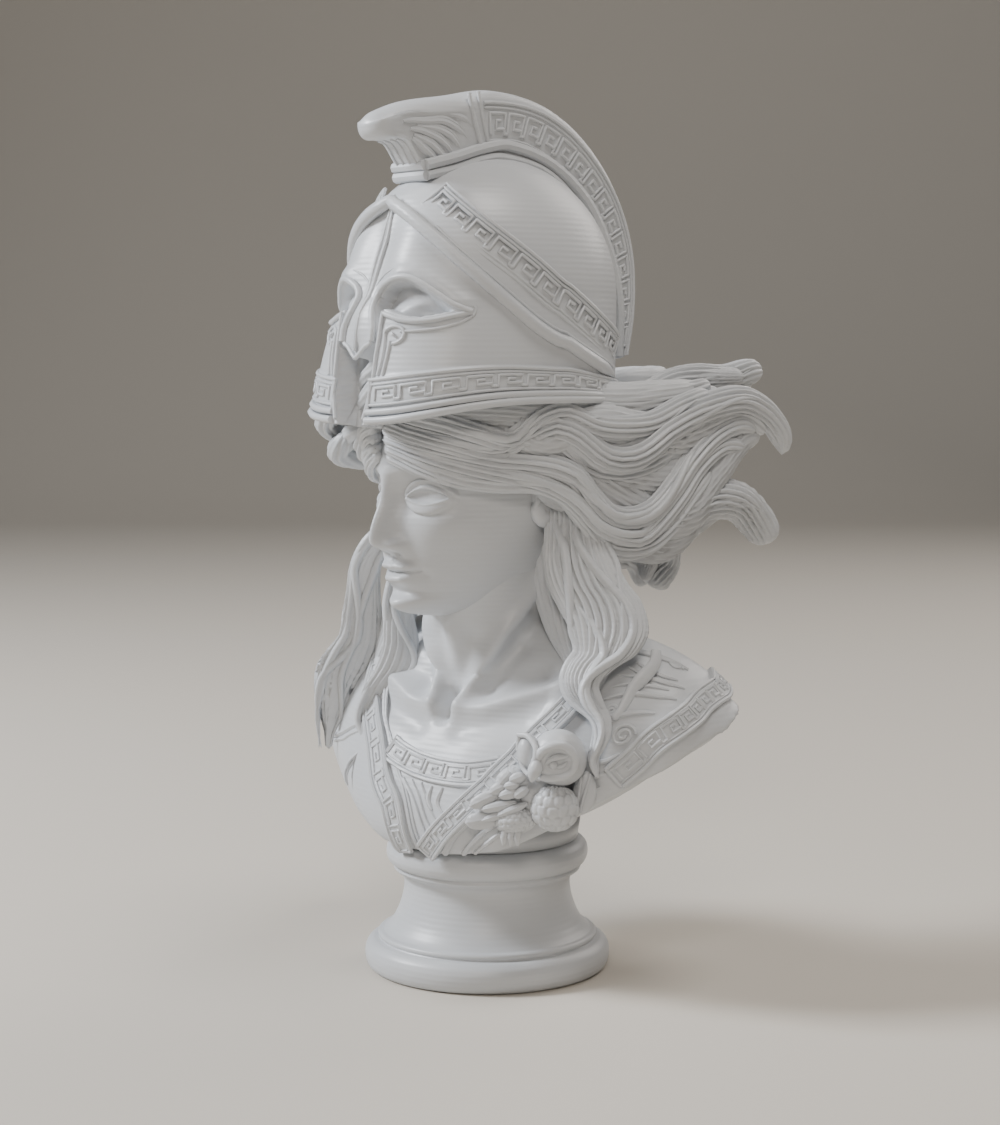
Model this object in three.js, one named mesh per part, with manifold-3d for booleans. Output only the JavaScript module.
// Desk bust of a helmeted goddess with streaming hair and an owl on her breast, on a round socle.
// Millimetres. +Z is up, -Y is the front of the chest and +X is her left. The origin is the middle
// of the socle's underside.
import * as THREE from 'three';
import { mergeVertices } from 'three/addons/utils/BufferGeometryUtils.js';
import Module from 'manifold-3d';

const wasm = await Module();
wasm.setup();

// Socle sizes
const FOOT_RADIUS = 27.6;
const FOOT_HEIGHT = 6.5;
const FOOT_OVERHANG = 3.0;
const BEAD_HEIGHT = 1.7;
const NECK_RADIUS = 18.7;
const FLARE_HEIGHT = 9.2;
const NECK_STRAIGHT = 3.1;
const COLLAR_HEIGHT = 2.9;
const COLLAR_RADIUS = 21.1;
const CAP_RADIUS = 22.7;
const CAP_HEIGHT = 5.9;
const SEAT_RADIUS = 20.4;
const SOCLE_SIDES = 28;

// Bust sizes
const SEAT_GAP = 0.3;
const BUST_HEIGHT = 165.2;

// The figure's own forms below are drawn in millimetres on a bust of this height, with z measured
// from its flat seat, and they keep their proportions when BUST_HEIGHT changes.
const DRAWN_HEIGHT = 165.2;
const HEAD_TURN = THREE.MathUtils.degToRad(12);
const EMBED = 1.4;

const socleHeight = FOOT_HEIGHT + BEAD_HEIGHT + FLARE_HEIGHT + NECK_STRAIGHT + COLLAR_HEIGHT + CAP_HEIGHT;

const plastic = new THREE.MeshStandardMaterial({ color: '#dfe3ea', roughness: 0.45, metalness: 0 });
const shelf = new THREE.MeshStandardMaterial({ color: '#dde1e8', roughness: 0.45, metalness: 0 });

// Small helpers

const radians = THREE.MathUtils.degToRad;

function smooth(value, low, high) {
  const t = THREE.MathUtils.clamp((value - low) / (high - low), 0, 1);
  return t * t * (3 - 2 * t);
}

function signedPower(value, power) {
  return Math.sign(value) * Math.abs(value) ** power;
}

// A smooth curve through [place, value] stations
function through(...stations) {
  const slope = stations.map((station, i) => {
    const before = stations[Math.max(i - 1, 0)];
    const after = stations[Math.min(i + 1, stations.length - 1)];
    return (after[1] - before[1]) / (after[0] - before[0]);
  });
  return (place) => {
    let i = 0;
    while (i < stations.length - 2 && place > stations[i + 1][0]) {
      i += 1;
    }
    const [x0, y0] = stations[i];
    const [x1, y1] = stations[i + 1];
    const span = x1 - x0;
    const t = THREE.MathUtils.clamp((place - x0) / span, 0, 1);
    const t2 = t * t;
    const t3 = t2 * t;
    return (2 * t3 - 3 * t2 + 1) * y0 + (t3 - 2 * t2 + t) * span * slope[i]
      + (3 * t2 - 2 * t3) * y1 + (t3 - t2) * span * slope[i + 1];
  };
}

function hump(distance, width) {
  return Math.exp(-((distance / width) ** 2));
}

// Any closed geometry as a solid with its faces outwards
function solid(source) {
  const bare = source.clone();
  bare.deleteAttribute('normal');
  bare.deleteAttribute('uv');
  const merged = mergeVertices(bare, 1e-3);
  const vertProperties = new Float32Array(merged.attributes.position.array);
  const triVerts = new Uint32Array(merged.index.array);
  const made = new wasm.Manifold(new wasm.Mesh({ numProp: 3, vertProperties, triVerts }));
  if (made.volume() > 0) {
    return made;
  }
  for (let i = 0; i < triVerts.length; i += 3) {
    [triVerts[i], triVerts[i + 1]] = [triVerts[i + 1], triVerts[i]];
  }
  return new wasm.Manifold(new wasm.Mesh({ numProp: 3, vertProperties, triVerts }));
}

function join(solids) {
  return solids.reduce((whole, next) => whole.add(next));
}

function toGeometry(made) {
  const { vertProperties, triVerts } = made.getMesh();
  const geometry = new THREE.BufferGeometry();
  geometry.setAttribute('position', new THREE.BufferAttribute(vertProperties, 3));
  geometry.setIndex(new THREE.BufferAttribute(triVerts, 1));
  return geometry;
}

// A sphere's skin moved to place(around, along): around in radians, along from 0 to 1, pole to pole
function formed(sides, rings, place) {
  const geometry = new THREE.SphereGeometry(1, sides, rings);
  const { position, uv } = geometry.attributes;
  for (let i = 0; i < position.count; i += 1) {
    const along = 1 - uv.getY(i);
    const pole = along < 1e-6 || along > 1 - 1e-6;
    const turn = Math.round(uv.getX(i) * sides - (pole ? 0.5 : 0)) % sides;
    const spot = place(pole ? 0 : (2 * Math.PI * turn) / sides, along);
    position.setXYZ(i, spot.x, spot.y, spot.z);
  }
  return solid(geometry);
}

function ellipsoid(centre, right, up, out, sides, rings) {
  return formed(sides, rings, (around, along) => {
    const ring = Math.sin(Math.PI * along);
    return centre.clone()
      .addScaledVector(right, ring * Math.cos(around))
      .addScaledVector(out, ring * Math.sin(around))
      .addScaledVector(up, Math.cos(Math.PI * along));
  });
}

// A tapered round-ended limb along a smooth path. Each stop is [x, y, z, width, thickness], and
// away(point) gives the direction that its thickness lies in.
function limb(stops, away, sides, rings) {
  const path = new THREE.CatmullRomCurve3(stops.map((s) => new THREE.Vector3(s[0], s[1], s[2])));
  const girth = new THREE.CatmullRomCurve3(stops.map((s) => new THREE.Vector3(s[3], s[4], 0)));
  return formed(sides, rings, (around, along) => {
    const point = path.getPoint(along);
    const ahead = path.getTangent(along);
    const out = away(point);
    out.addScaledVector(ahead, -out.dot(ahead)).normalize();
    const across = new THREE.Vector3().crossVectors(ahead, out);
    const size = girth.getPoint(along);
    const ends = Math.min(1, 1e3 * along * (1 - along));
    return point
      .addScaledVector(across, (ends * Math.cos(around) * size.x) / 2)
      .addScaledVector(out, (ends * Math.sin(around) * size.y) / 2);
  });
}

// A raised strip on a chart, a function (a, b, lift) that gives points on and above a surface
function strip(chart, route, width, height, steps) {
  const line = new THREE.CatmullRomCurve3(route.map(([a, b]) => new THREE.Vector3(a, b, 0)));
  const geometry = new THREE.BoxGeometry(1, 1, 1, steps, 1, 1);
  const { position } = geometry.attributes;
  const spot = (t, lift) => {
    const at = line.getPoint(THREE.MathUtils.clamp(t, 0, 1));
    return chart(at.x, at.y, lift);
  };
  for (let i = 0; i < position.count; i += 1) {
    const t = position.getX(i) + 0.5;
    const lift = position.getZ(i) > 0 ? height : -EMBED;
    const base = spot(t, 0);
    const ahead = spot(t + 0.01, 0).sub(spot(t - 0.01, 0)).normalize();
    const out = spot(t, 1).sub(base).normalize();
    const across = new THREE.Vector3().crossVectors(out, ahead);
    base.addScaledVector(across, position.getY(i) * width).addScaledVector(out, lift);
    position.setXYZ(i, base.x, base.y, base.z);
  }
  return solid(geometry);
}

// Head frame: forward is where the face looks, left is her left, up is up
const FORWARD = new THREE.Vector3(-Math.sin(HEAD_TURN), -Math.cos(HEAD_TURN), 0);
const LEFT = new THREE.Vector3(Math.cos(HEAD_TURN), -Math.sin(HEAD_TURN), 0);
const UP = new THREE.Vector3(0, 0, 1);

function inHead(forward, left, up) {
  return new THREE.Vector3()
    .addScaledVector(FORWARD, forward)
    .addScaledVector(LEFT, left)
    .addScaledVector(UP, up);
}

// Torso, cut off below in a curve that rises to both arm stumps

const LEFT_STUMP = 56.4;
const RIGHT_STUMP = 56.0;
const STUMP_ROUND = 8.5;
const SHOULDER_TOP = 50.8;
const BACK_CUT_RISE = 8;

// Height of the lower edge in front, by the distance out from the middle on each side
const leftCut = through([12, 0], [20, 1.4], [26, 4.4], [32, 8.3], [37, 12], [43, 16.2], [50, 20.8], [56.4, 26.5]);
const rightCut = through([10, 0], [14, 1], [20, 3.6], [28, 6.6], [36, 8.2], [43, 10.5], [49, 16], [56, 28]);

function torsoPoint(x, angle, lift = 0) {
  const reach = Math.abs(x);
  const end = x > 0 ? LEFT_STUMP : RIGHT_STUMP;
  const top = SHOULDER_TOP - 0.095 * reach - 1.45e-6 * reach ** 4;
  const edge = x > 0 ? leftCut(reach) : rightCut(reach);
  const behind = (1 - Math.cos(angle)) / 2;
  const cut = Math.min(edge + BACK_CUT_RISE * smooth(reach, 4, 16) * behind, top - 1);
  const front = -22 + 25.5 * smooth(reach, 8, 64);
  const back = 17 + 6 * Math.sin((Math.PI * reach) / 78);
  const rounding = Math.max(reach - (end - STUMP_ROUND), 0) / STUMP_ROUND;
  const shrink = Math.sqrt(Math.max(1 - rounding ** 2, 0));
  const middle = cut + 0.32 * (top - cut);
  const core = (front + back) / 2 + 5;
  const forward = signedPower(Math.cos(angle), 0.93);
  const upward = signedPower(Math.sin(angle), 0.93);
  const rise = (upward > 0 ? top - middle : middle - cut + 9) * shrink;
  const height = middle + upward * rise;
  const lean = 0.45 * (1 - smooth(reach, 20, 55));
  const depth = (forward > 0 ? core - front - lean * (height - middle) : back - core) * shrink;
  const y = core - forward * depth - lift * Math.cos(angle);
  const z = Math.max(height + lift * Math.sin(angle), middle - (middle - cut) * shrink);
  return new THREE.Vector3(x, y, z);
}

// The hem of the short cape over her left shoulder, as x by the angle in degrees around the body
const hemReach = through([-14, 40.7], [-3, 45.4], [15, 50.3], [56, 52.2], [96, 51.3], [125, 48.5], [160, 45], [205, 42]);

// The cape stands out from the body by its own thickness
function capeLift(x, angle) {
  const turn = angle > 1.4 * Math.PI ? angle - 2 * Math.PI : angle;
  const inner = 17 + 8 * hump(turn - radians(40), 0.9);
  const hem = hemReach(THREE.MathUtils.radToDeg(turn));
  return 0.9 * smooth(x, inner - 1.5, inner + 1.5) * (1 - smooth(x, hem + 1, hem + 3));
}

function torso() {
  return formed(24, 20, (around, along) => {
    const side = -Math.cos(Math.PI * along);
    const x = side > 0 ? side * LEFT_STUMP : side * RIGHT_STUMP;
    return torsoPoint(x, around, capeLift(x, around));
  });
}

// The round seat keeps to the socle's own top
function seat() {
  const radius = SEAT_RADIUS / figureScale;
  const geometry = new THREE.CylinderGeometry(radius + 1.2, radius, 4, 30);
  geometry.rotateX(Math.PI / 2);
  geometry.translate(0, 0, 2);
  return solid(geometry);
}

// Neck and head

const neckWide = through([18, 23], [27, 20.5], [33, 16.5], [40, 14], [50, 13.4], [62, 14.5], [72, 15]);
const neckDeep = through([18, 12], [27, 12.5], [33, 13], [40, 13], [50, 13.6], [62, 15], [72, 15]);
const neckBack = through([18, 4], [33, 3.5], [45, 1.5], [60, 0], [72, 0]);

function neck() {
  return formed(16, 9, (around, along) => {
    const z = THREE.MathUtils.lerp(72, 18, along);
    const ring = Math.min(1, 1e3 * along * (1 - along));
    const x = ring * neckWide(z) * Math.cos(around);
    return new THREE.Vector3(x, neckBack(z) + ring * neckDeep(z) * Math.sin(around), z);
  });
}

const HAIRLINE = 98;
const CHIN = 50.6;
const faceFront = through([CHIN, 14], [51.8, 21.5], [54, 25.2], [57, 24.4], [62, 25.8], [66, 25.6], [72, 26.4],
  [77, 25.4], [83, 27.4], [90, 27], [97.5, 24], [HAIRLINE, 2]);
const skullBack = through([CHIN, 2], [58, -7], [66, -14], [76, -19.5], [88, -22], [97.5, -20], [HAIRLINE, 2]);
const skullSide = through([CHIN, 3], [53, 8.5], [57, 12.5], [62, 15], [68, 17], [76, 18.6], [84, 19], [92, 18.5],
  [97.5, 17], [HAIRLINE, 0]);
const noseHeight = through([64.5, 0], [66.2, 2.2], [68, 7], [71, 6.6], [77, 4.6], [82, 2.2], [87, 0.4], [90, 0]);
const noseWidth = through([64.5, 4.6], [68, 4.2], [72, 2.9], [78, 2.4], [84, 3.4], [90, 5]);

function headPoint(around, z) {
  const front = faceFront(z);
  const back = skullBack(z);
  const ahead = Math.cos(around);
  const middle = 2 - 4 * (1 - smooth(z, 52, 72));
  const left = skullSide(z) * signedPower(Math.sin(around), 0.95);
  let forward = middle + (ahead > 0 ? front - middle : middle - back) * signedPower(ahead, 0.95);
  if (ahead > 0) {
    const bridge = z > 64.5 && z < 90 ? noseHeight(z) * hump(left, noseWidth(z)) : 0;
    const lips = 1.5 * hump(z - 62.9, 1.3) * hump(left, 5.2) + 1.7 * hump(z - 60, 1.4) * hump(left, 4.6);
    const socket = 2.6 * hump(z - 77.6, 3.6) * (hump(left - 8.6, 5) + hump(left + 8.6, 5));
    const eye = 1.9 * hump(z - 76.9, 2.2) * (hump(left - 8.8, 3.6) + hump(left + 8.8, 3.6));
    forward += bridge + lips - socket + eye;
  }
  return inHead(forward, left, z);
}

function head() {
  return formed(20, 18, (around, along) => headPoint(around, THREE.MathUtils.lerp(HAIRLINE, CHIN, along)));
}

function ear(side) {
  const centre = inHead(-1.5, side * 18.6, 76.5);
  return ellipsoid(centre, inHead(3.4, side * 0.6, 0), inHead(0.6, 0, 6), inHead(-1, side * 1.7, 0), 8, 6);
}

// Helmet: a dome over a waist, with flared cheekpieces in front and a rim that rises to the back

const WAIST = 120.4;
const DOME_TOP = 150.9;
const WAIST_FRONT = 33.5;
const WAIST_BACK = 30.0;
const WAIST_SIDE = 26.5;
const RIM_LOW = 93.0;
const RIM_RISE = 4.6;
const CHEEK_TIP = 5.0;
const GUARD_HALF = 3.8;

function rimHeight(angle) {
  return RIM_LOW + RIM_RISE * smooth(Math.abs(angle), 0, radians(90));
}

function helmetSkin(angle, z) {
  const over = THREE.MathUtils.clamp((z - WAIST) / (DOME_TOP - WAIST), 0, 1);
  const dome = Math.sqrt(1 - over ** 2);
  const below = Math.max(WAIST - z, 0);
  const front = (WAIST_FRONT + 0.13 * below) * dome;
  const back = (WAIST_BACK - 0.08 * below) * dome;
  const side = (WAIST_SIDE + 0.09 * below) * dome;
  const ahead = Math.cos(angle);
  const boxy = ahead > 0 ? 2 + 1.2 * smooth(-z, -WAIST - 8, -WAIST + 22) : 2;
  const forward = (ahead > 0 ? front : back) * signedPower(ahead, 2 / boxy);
  return inHead(forward, side * signedPower(Math.sin(angle), 2 / boxy), z);
}

function helmetPoint(angle, z, lift = 0) {
  const point = helmetSkin(angle, z);
  if (lift === 0) {
    return point;
  }
  const round = helmetSkin(angle + 0.01, z).sub(helmetSkin(angle - 0.01, z));
  const rise = helmetSkin(angle, z + 0.1).sub(helmetSkin(angle, z - 0.1));
  return point.addScaledVector(round.cross(rise).normalize(), lift);
}

// Rows of the shell from the dome's top to the rim: a share of the dome, of the wall below the waist
// or a height over the rim, each with its lift. The key band and the rim roll stand out from the wall.
const domeRows = [0.18, 0.36, 0.53, 0.69, 0.85, 1];
const wallRows = [0.5];
const rimRows = [[8.7, 0], [8.3, 0.6], [3.2, 0.6], [2.7, 1.3], [0, 1.2]];

function helmetShell() {
  const rows = [
    ...domeRows.map((share) => () => [WAIST + (DOME_TOP - WAIST) * Math.cos((share * Math.PI) / 2), 0]),
    ...wallRows.map((share) => (rim) => [THREE.MathUtils.lerp(WAIST, rim + 8.7, share), 0]),
    ...rimRows.map(([height, lift]) => (rim) => [rim + height, lift]),
  ];
  return formed(30, rows.length + 1, (around, along) => {
    const row = Math.round(along * (rows.length + 1));
    if (row === 0) {
      return new THREE.Vector3(0, 0, DOME_TOP);
    }
    if (row > rows.length) {
      return new THREE.Vector3(0, 0, RIM_LOW);
    }
    const [z, lift] = rows[row - 1](rimHeight(around > Math.PI ? around - 2 * Math.PI : around));
    return helmetPoint(around, z, lift);
  });
}

// The almond eye openings and the gap between the cheekpieces are sunk into the solid helmet
function eyeHole(side) {
  const centre = helmetPoint(side * radians(25), 119.4, 1.2);
  const across = helmetPoint(side * radians(46), 118.2).sub(helmetPoint(side * radians(8), 118.2));
  return ellipsoid(centre, across.multiplyScalar(0.5), inHead(0, 0, 4.8), inHead(5.5, side * 2.5, 0), 10, 6);
}

function cheekGap() {
  const outline = new THREE.Shape();
  outline.moveTo(-CHEEK_TIP, 86);
  outline.lineTo(CHEEK_TIP, 86);
  outline.lineTo(CHEEK_TIP, 97);
  outline.lineTo(CHEEK_TIP + 2.6, 112);
  outline.lineTo(GUARD_HALF, 117);
  outline.lineTo(1, 108);
  outline.lineTo(-1, 108);
  outline.lineTo(-GUARD_HALF, 117);
  outline.lineTo(-CHEEK_TIP - 2.6, 112);
  outline.lineTo(-CHEEK_TIP, 97);
  outline.closePath();
  const geometry = new THREE.ExtrudeGeometry(outline, { depth: 14, bevelEnabled: false });
  const { position } = geometry.attributes;
  for (let i = 0; i < position.count; i += 1) {
    const spot = inHead(31 + position.getZ(i), position.getX(i), position.getY(i));
    position.setXYZ(i, spot.x, spot.y, spot.z);
  }
  return solid(geometry);
}

// A raised lid runs over each eye opening, from the nose to a point behind the outer corner
const lidRoute = [[6, 113.5], [8.5, 119.2], [15, 123], [24, 124.9], [33, 124], [41, 121.2], [48, 118.6], [55, 116.8]];

// The long roll that runs from the brow to a point behind the ear, with the wide band above it
const ridgeRoute = [[0, 140.2], [20, 136.4], [34, 132.6], [52, 125.8], [74, 116.6], [89, 110.2], [111, 104], [130, 100.4]];
const bandRoute = [[30, 141.2], [55, 133.2], [76, 125], [93, 118.3], [112, 112.6], [132, 108.4]];

function helmetRoute(route, side) {
  return route.map(([degrees, z]) => [side * radians(degrees), z]);
}

function ridge(side) {
  const route = helmetRoute(ridgeRoute, side);
  const stops = route.map(([angle, z], i) => {
    const spot = helmetPoint(angle, z, 0.4);
    const thick = i === route.length - 1 ? 1.8 : 3.4;
    return [spot.x, spot.y, spot.z, thick, thick];
  });
  return limb(stops, (point) => point.clone().setZ(0), 5, 10);
}

function upperBand(side) {
  return strip(helmetPoint, helmetRoute(bandRoute, side), 6.2, 0.7, 8);
}

function eyelid(side) {
  return strip(helmetPoint, helmetRoute(lidRoute, side), 1.7, 0.8, 8);
}

// Crest: a tall comb over the dome, pulled out to a beak in front. Its edges run from the beak over
// the top and down the back, as [forward, up] stops in the head's middle plane.
const CREST_HALF = 5.5;
const RAIL_HALF = 6.4;
const crestOuter = [[33, 157.2], [24.2, 161.2], [12.5, 163.3], [0.5, 165.2], [-13.3, 163], [-24.7, 156.5],
  [-34.4, 145.4], [-39.4, 132.4], [-40, 119], [-37.5, 106]];
const crestInner = [[32, 153.6], [25.4, 153.2], [20.6, 147.4], [12, 145], [0, 147], [-10, 144], [-20, 137],
  [-26, 128], [-28, 118], [-28, 106]];
const railOuter = [[20.4, 147.4], [13, 150.4], [5.6, 152.6], [-1.6, 153.7], [-14, 150.2], [-24.5, 142.1],
  [-31.2, 130.2], [-33.8, 120], [-33.6, 108]];
const railInner = [[20, 141], [13, 143.4], [6, 145.4], [0, 146.4], [-10, 143.4], [-20, 136], [-26, 127.5],
  [-28, 118], [-28, 108]];

function edgeCurve(stops) {
  return new THREE.CatmullRomCurve3(stops.map(([forward, up]) => new THREE.Vector3(forward, 0, up)));
}

function comb(inner, outer, half, roof, steps, rows) {
  const low = edgeCurve(inner);
  const high = edgeCurve(outer);
  const geometry = new THREE.BoxGeometry(1, 1, 2, steps, rows, 2);
  const { position } = geometry.attributes;
  for (let i = 0; i < position.count; i += 1) {
    const t = THREE.MathUtils.clamp(position.getX(i) + 0.5, 0, 1);
    const share = position.getY(i) + 0.5;
    const side = position.getZ(i);
    const ridged = share > 0.9 ? 1 - roof * Math.abs(side) : share * 0.94;
    const spot = low.getPoint(t).lerp(high.getPoint(t), ridged);
    const placed = inHead(spot.x, side * half(t), spot.z);
    position.setXYZ(i, placed.x, placed.y, placed.z);
  }
  return solid(geometry);
}

function crest() {
  const beak = (t) => CREST_HALF * (0.82 + 0.18 * smooth(t, -0.01, 0.06));
  return [comb(crestInner, crestOuter, beak, 0.2, 18, 1), comb(railInner, railOuter, () => RAIL_HALF, 0.06, 12, 1)];
}

function helmet() {
  const shell = helmetShell()
    .subtract(eyeHole(1))
    .subtract(eyeHole(-1))
    .subtract(cheekGap());
  return join([shell, upperBand(1), upperBand(-1), eyelid(1), eyelid(-1), ridge(1), ridge(-1), ...crest()]);
}

// Hair. Each lock is a list of [forward, left, up, width, thickness] stops in the head frame.
const sideLocks = [
  [[14, 21, 92.5, 7, 5], [4, 25.5, 90, 10, 7], [-8, 28.5, 94, 12, 8], [-22, 29, 90.5, 13, 8], [-34, 28.5, 90, 12.5, 8],
    [-47, 27.5, 95.5, 11, 8], [-58, 26.5, 97, 9.5, 7.5], [-66, 25.5, 93, 6.5, 5], [-68.5, 25, 88, 2, 2]],
  [[6, 22, 84.5, 7, 5], [-6, 25.5, 83, 11, 7], [-16, 27.5, 77.5, 13, 8], [-26, 28, 72, 13, 8], [-36, 28, 72.5, 12, 8],
    [-44, 27.5, 80.5, 11, 8], [-54, 27, 89.5, 9, 7], [-63, 26, 91, 6.5, 5], [-68, 25.5, 86, 2, 2]],
  [[0, 21, 79, 7, 6], [-10, 24, 75, 10, 7], [-20, 25.5, 67, 11, 8], [-30, 26.5, 65.5, 11, 7], [-40, 25, 71, 10, 7],
    [-52, 25, 75.5, 9.5, 7], [-61, 24.5, 73, 7.5, 5.5], [-65, 24, 66, 3, 3]],
  [[-20, 15, 97, 9, 7], [-34, 14, 99.5, 10, 8], [-46, 12, 103, 9.5, 8], [-57, 12, 103, 8.5, 7], [-66, 13, 104.5, 7, 6],
    [-70, 13.5, 103, 3.5, 3.5]],
  [[-18, 17, 78, 12, 8], [-30, 15.5, 68, 11, 8], [-37, 13, 60, 8, 6.5], [-34, 12, 53, 3, 3]],
];

const middleLocks = [
  [[-24, 4, 94, 10, 9], [-38, 5, 92, 11, 9], [-50, 4, 94, 9, 7], [-59, 3, 90, 4, 4]],
  [[-22, -5, 80, 11, 9], [-38, -5, 76, 12, 9], [-50, -6, 79, 9, 7], [-57, -6, 75, 4, 4]],
  [[-12, 1, 66, 13, 12], [-23, 1, 56, 12, 10], [-30, 0, 48, 9, 7], [-29, 0, 41, 3, 3]],
];

function streamingLock(stops, side, rings) {
  const placed = stops.map(([f, l, z, wide, thick]) => {
    const spot = inHead(f, side * l, z);
    return [spot.x, spot.y, spot.z, wide, thick];
  });
  return limb(placed, () => inHead(0, side, 0.1), 6, rings);
}

// Locks that fall in front of the shoulders, in the part's frame
const leftFall = [[21, 0, 80, 8, 9], [25, -1, 70, 15, 11], [31, -2.5, 58.5, 20, 12], [37, -4, 48.5, 20, 11],
  [36.5, -6, 41, 12, 8], [31.5, -10, 34.5, 8, 6.5], [35, -10.5, 31, 7, 5.5], [38.6, -11.5, 27.5, 5.5, 4.5],
  [36.6, -12.5, 23.5, 4, 4], [38, -12, 18.5, 1.6, 2]];
const rightNear = [[-20, 2, 74, 7, 6], [-19, -3, 63, 9, 7], [-18.5, -6, 53, 9, 7], [-19, -8, 45, 9, 6.5],
  [-20.5, -9.5, 39, 8, 6], [-25, -10.5, 33, 6, 5], [-27, -12, 27.5, 4.5, 4.5], [-22.5, -16, 21.5, 3.6, 4],
  [-24.2, -17.5, 17, 3, 3.6], [-23.2, -19, 13.5, 1.2, 1.6]];
const rightFar = [[-22, -2, 74, 8, 6], [-25.5, -3, 62, 10, 7], [-28.5, -4, 52, 11, 8], [-35, -5, 42, 11, 8],
  [-39, -6, 34, 8, 6.5], [-40.5, -7, 26, 5.5, 5], [-41, -7.5, 20, 2, 2]];

function fallingLock(stops, rings) {
  return limb(stops, (point) => new THREE.Vector3(point.x * 0.5, -20, 0), 7, rings);
}

function hairMass() {
  const stops = [[9, 0, 91, 40, 12], [-3, 0, 87, 50, 26], [-18, 0, 83, 52, 34], [-32, 0, 81, 50, 32],
    [-44, 0, 84, 44, 24], [-54, 0, 87, 24, 10]];
  const placed = stops.map(([f, l, z, wide, thick]) => {
    const spot = inHead(f, l, z);
    return [spot.x, spot.y, spot.z, wide, thick];
  });
  return limb(placed, () => UP.clone(), 10, 7);
}

function hair() {
  const locks = [hairMass()];
  for (const side of [1, -1]) {
    for (const stops of sideLocks) {
      locks.push(streamingLock(stops, side, stops.length));
    }
  }
  for (const stops of middleLocks) {
    locks.push(streamingLock(stops, 1, 6));
  }
  locks.push(fallingLock(leftFall, 12), fallingLock(rightNear, 10), fallingLock(rightFar, 8));
  return join(locks);
}

// Dress: the crossing straps of the neckline, the scoop between them and the short cape

function torsoRoute(route) {
  return route.map(([x, degrees]) => [x, radians(degrees)]);
}

function dress() {
  const leftStrap = [[-3, -38], [-5.8, -15], [-12.6, 1.5], [-17.5, 9], [-24, 19], [-26, 38]];
  const rightStrap = [[2.7, -34], [12.2, -13], [18.4, 1], [24.2, 12.2], [29.4, 25.6], [32, 45]];
  const scoop = [[-10, 6.5], [-4.6, 4], [0.6, 2.9], [6.5, 2.6], [13, 3.2], [18, 4.4]];
  const armhole = [[-24, 11], [-28.5, 7], [-33, 4], [-39, -1.5]];
  const hem = [-14, -3, 15, 35, 56, 76, 96, 125, 160, 200].map((degrees) => [hemReach(degrees), degrees]);
  return join([
    strip(torsoPoint, torsoRoute(leftStrap), 6.2, 0.9, 6),
    strip(torsoPoint, torsoRoute(scoop), 5.6, 0.7, 5),
    strip(torsoPoint, torsoRoute(rightStrap), 5.2, 1.5, 8),
    strip(torsoPoint, torsoRoute(armhole), 1.8, 0.8, 3),
    strip(torsoPoint, torsoRoute(hem), 5.6, 1.5, 10),
  ]);
}

// Owl, perched on the right-hand strap

const OWL_RIGHT = new THREE.Vector3(0.86, 0.51, 0);
const OWL_OUT = new THREE.Vector3(0.45, -0.88, 0.15).normalize();
const OWL_SEAT = new THREE.Vector3(30, -15.8, 15.2);

function onOwl(right, up, out) {
  return OWL_SEAT.clone()
    .addScaledVector(OWL_RIGHT, right)
    .addScaledVector(UP, up)
    .addScaledVector(OWL_OUT, out);
}

function owlForm(place, size, sides, rings) {
  const centre = onOwl(...place);
  return ellipsoid(centre, OWL_RIGHT.clone().multiplyScalar(size[0]), UP.clone().multiplyScalar(size[1]),
    OWL_OUT.clone().multiplyScalar(size[2]), sides, rings);
}

function owl() {
  const skull = owlForm([1, 7.6, 4.2], [6.2, 5.8, 5.6], 9, 7);
  const tuft = owlForm([-4.6, 11, 5], [1.4, 3, 1.6], 5, 3);
  const beak = owlForm([-2.8, 5, 8.8], [1.1, 2.4, 1.8], 4, 3);
  const breast = owlForm([1.6, -2.6, 3.6], [5, 5.2, 4.8], 8, 6);
  const back = owlForm([-5, -0.5, 1.2], [7.6, 5.4, 4], 7, 5);
  const wing = owlForm([-9.2, 0.4, 2.8], [5.4, 3.8, 2.4], 6, 3);
  const feathers = owlForm([-11.8, -5, 1.4], [4.2, 2.2, 2], 6, 3);
  const foot = owlForm([-5, -6.8, 0.6], [2.8, 2.6, 3], 5, 3);
  return join([skull, tuft, beak, breast, back, wing, feathers, foot]);
}

// Socle

function ellipseArc(centreRadius, centreHeight, wide, tall, from, to, steps) {
  return Array.from({ length: steps + 1 }, (_, i) => {
    const angle = radians(THREE.MathUtils.lerp(from, to, i / steps));
    return new THREE.Vector2(centreRadius + wide * Math.cos(angle), centreHeight + tall * Math.sin(angle));
  });
}

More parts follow.
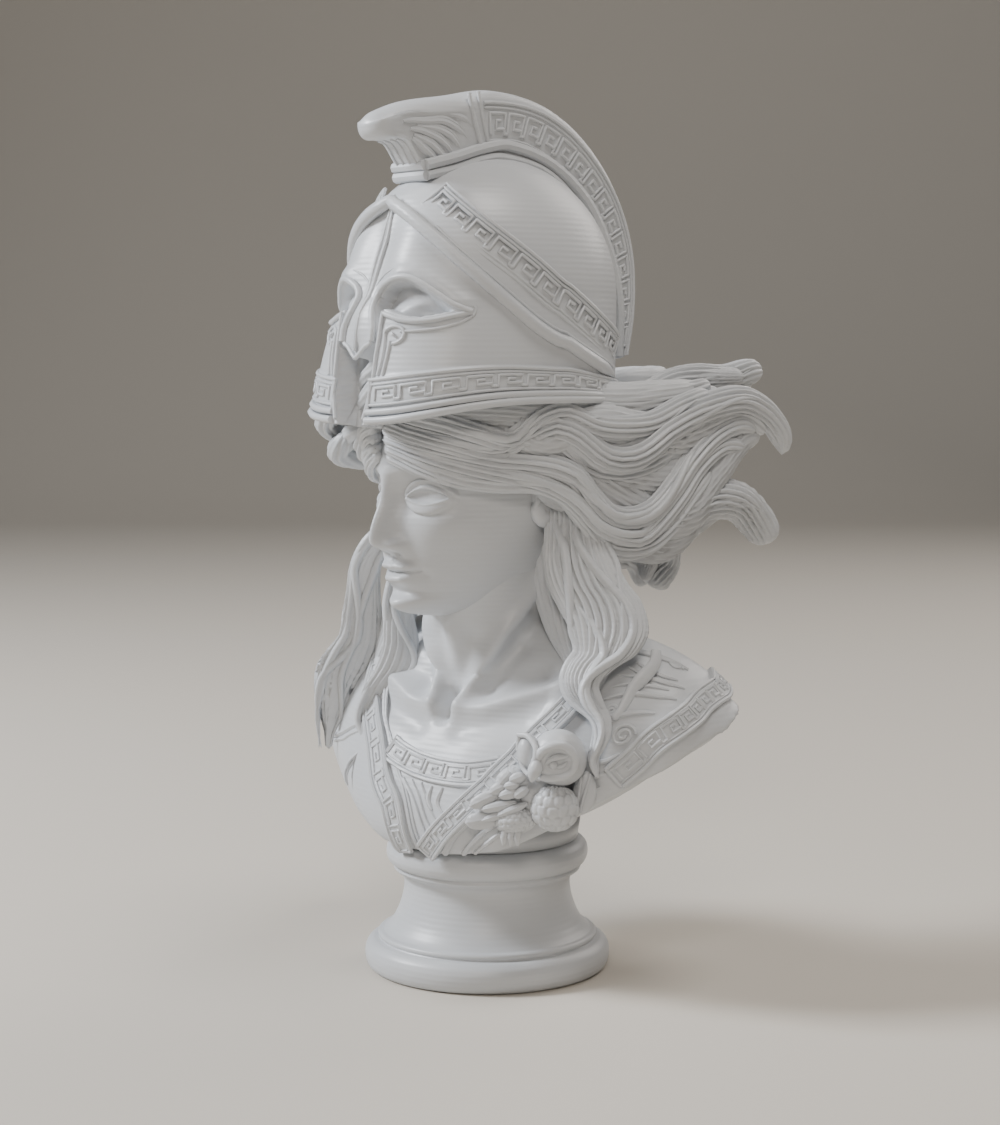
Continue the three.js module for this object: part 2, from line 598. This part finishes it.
function socle() {
  const beadBase = FOOT_HEIGHT;
  const flareBase = beadBase + BEAD_HEIGHT;
  const shaftBase = flareBase + FLARE_HEIGHT;
  const collarBase = shaftBase + NECK_STRAIGHT;
  const capBase = collarBase + COLLAR_HEIGHT;
  const beadRadius = FOOT_RADIUS - FOOT_OVERHANG;
  const flareRadius = beadRadius - 0.5;
  const profile = [
    new THREE.Vector2(0, 0),
    ...ellipseArc(beadRadius - 1.6, FOOT_HEIGHT / 2, FOOT_OVERHANG + 1.6, FOOT_HEIGHT * 0.54, -68, 68, 4),
    ...ellipseArc(beadRadius - BEAD_HEIGHT / 2, beadBase + BEAD_HEIGHT / 2, BEAD_HEIGHT / 2, BEAD_HEIGHT / 2, -60, 60, 2),
    ...ellipseArc(flareRadius, shaftBase, NECK_RADIUS - flareRadius, -FLARE_HEIGHT, 90, 0, 3),
    new THREE.Vector2(NECK_RADIUS, collarBase),
    new THREE.Vector2(COLLAR_RADIUS - 0.6, collarBase + COLLAR_HEIGHT * 0.35),
    new THREE.Vector2(COLLAR_RADIUS, collarBase + COLLAR_HEIGHT * 0.65),
    new THREE.Vector2(COLLAR_RADIUS - 0.6, capBase),
    ...ellipseArc(SEAT_RADIUS, capBase + CAP_HEIGHT / 2, CAP_RADIUS - SEAT_RADIUS, CAP_HEIGHT / 2, -70, 90, 4),
    new THREE.Vector2(0, capBase + CAP_HEIGHT),
  ];
  profile[1].y = 0;
  const geometry = new THREE.LatheGeometry(profile, SOCLE_SIDES);
  geometry.rotateX(Math.PI / 2);
  return toGeometry(solid(geometry));
}

const figureScale = BUST_HEIGHT / DRAWN_HEIGHT;

// Nothing of the figure reaches below its flat seat
const TRIM_WIDTH = 200;
const TRIM_DEPTH = 40;

function belowSeat() {
  const geometry = new THREE.BoxGeometry(TRIM_WIDTH, TRIM_WIDTH, TRIM_DEPTH);
  geometry.translate(0, 0, -TRIM_DEPTH / 2);
  return solid(geometry);
}

function bust() {
  const whole = join([torso(), neck(), head(), ear(1), ear(-1), helmet(), hair(), dress(), owl()]);
  const cut = whole.subtract(belowSeat()).add(seat());
  return toGeometry(cut).scale(figureScale, figureScale, figureScale);
}

const socleMesh = new THREE.Mesh(socle(), shelf);
socleMesh.name = 'socle';

const bustMesh = new THREE.Mesh(bust(), plastic);
bustMesh.name = 'bust';
bustMesh.position.z = socleHeight + SEAT_GAP;

const group = new THREE.Group();
group.add(socleMesh, bustMesh);

export default group;
